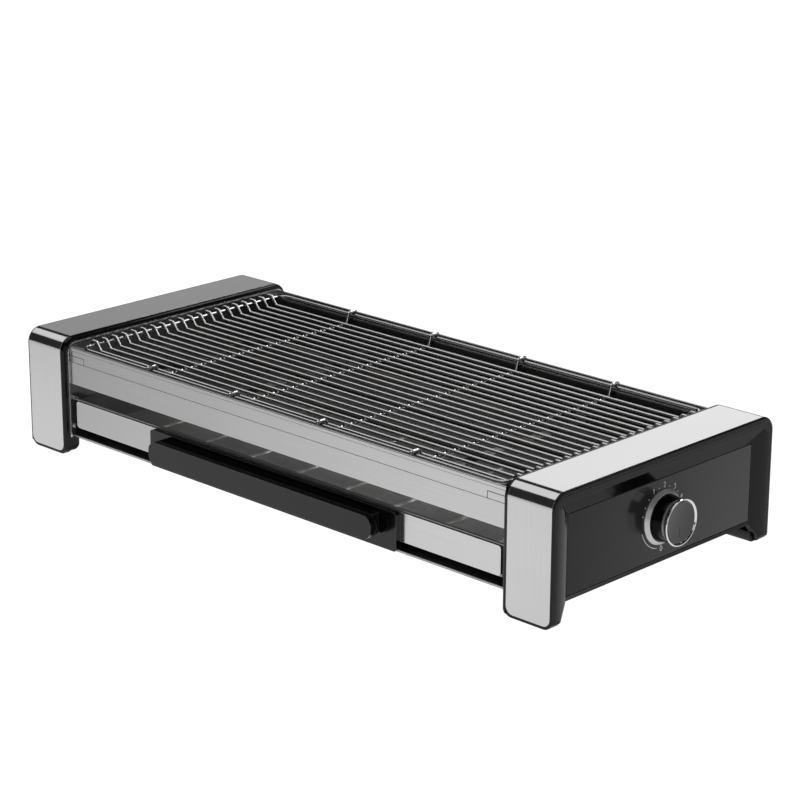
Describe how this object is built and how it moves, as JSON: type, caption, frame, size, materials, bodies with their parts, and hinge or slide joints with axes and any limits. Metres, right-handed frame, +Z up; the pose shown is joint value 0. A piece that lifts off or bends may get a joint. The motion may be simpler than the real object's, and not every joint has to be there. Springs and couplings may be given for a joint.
{
  "type": "electric table grill",
  "caption": "Electric table grill with a lift-off wire grid, a bent heating element, a drip drawer at the front and a heat control on one end.",
  "frame": {"origin": "centre of the whole footprint, grip and knob included, on the table", "axes": "+X towards the control end, -Y towards the drawer's front, +Z up"},
  "size_m": [0.5976, 0.2656, 0.103],
  "materials": {
    "black_moulding": "semi-gloss",
    "brushed_strip": "brushed along the strip",
    "dark_panel": "satin dark grey",
    "dial_silver": "satin silver",
    "black_cover": "matte",
    "foot_rubber": "matte",
    "plain_sheet": "plain rolled sheet",
    "lining_sheet": "dull lining sheet",
    "element_tube": "dark oxidised tube",
    "ceramic": "off-white, matte",
    "lead_sleeve": "woven glass sleeve",
    "inlet_black": "matte",
    "contact_brass": "plain",
    "screw_steel": "zinc plated",
    "knob_black": "semi-gloss",
    "knob_chrome": "bright",
    "knob_cap": "satin dark grey",
    "tray_steel": "dull, darker sheet",
    "front_steel": "brushed along its length",
    "handle_black": "semi-gloss",
    "wire_chrome": "bright plated wire"
  },
  "bodies": {
    "grill": {"left_end_frame": "black_moulding", "right_end_frame": "black_moulding", "left_strip": "brushed_strip", "right_strip": "brushed_strip", "left_end_panel": "dark_panel", "control_panel": "dark_panel", "dial_ring": "dial_silver", "left_bottom_cover": "black_cover", "right_bottom_cover": "black_cover", "rubber_feet": "foot_rubber", "left_end_plate": "plain_sheet", "right_end_plate": "plain_sheet", "front_panel": "plain_sheet", "rear_panel": "plain_sheet", "base_plate": "plain_sheet", "left_runner": "plain_sheet", "right_runner": "plain_sheet", "element_brackets": "plain_sheet", "front_reflector": "lining_sheet", "rear_reflector": "lining_sheet", "heating_element": "element_tube", "element_bushings": "ceramic", "thermostat": "ceramic", "thermal_cutout": "ceramic", "terminal_block": "ceramic", "inner_leads": "lead_sleeve", "power_inlet": "inlet_black", "inlet_pins": "contact_brass", "frame_screws": "screw_steel", "cover_screws": "screw_steel", "thermostat_nut": "screw_steel"},
    "knob": {"thermostat_shaft": "screw_steel", "knob_body": "knob_black", "knob_ring": "knob_chrome", "knob_cap": "knob_cap"},
    "drawer": {"drawer_tray": "tray_steel", "drawer_front": "front_steel", "handle_plate": "handle_black", "handle_grip": "handle_black", "handle_screws": "screw_steel"},
    "grid": {"grid_rim": "wire_chrome", "grid_long_wires": "wire_chrome", "grid_cross_wires": "wire_chrome"}
  },
  "joints": [
    {"name": "drawer_slide", "type": "slide", "parent": "grill", "child": "drawer", "axis": [0, -1, 0], "range_m": [0, 0.19]},
    {"name": "knob_turn", "type": "hinge", "parent": "grill", "child": "knob", "pos_m": [0.2988, 0.00583, 0.05297], "axis": [-1, 0, 0], "range_deg": [0, 245]},
    {"name": "grid_lift", "type": "slide", "parent": "grill", "child": "grid", "axis": [0, 0, 1], "range_m": [0, 0.06]}
  ]
}
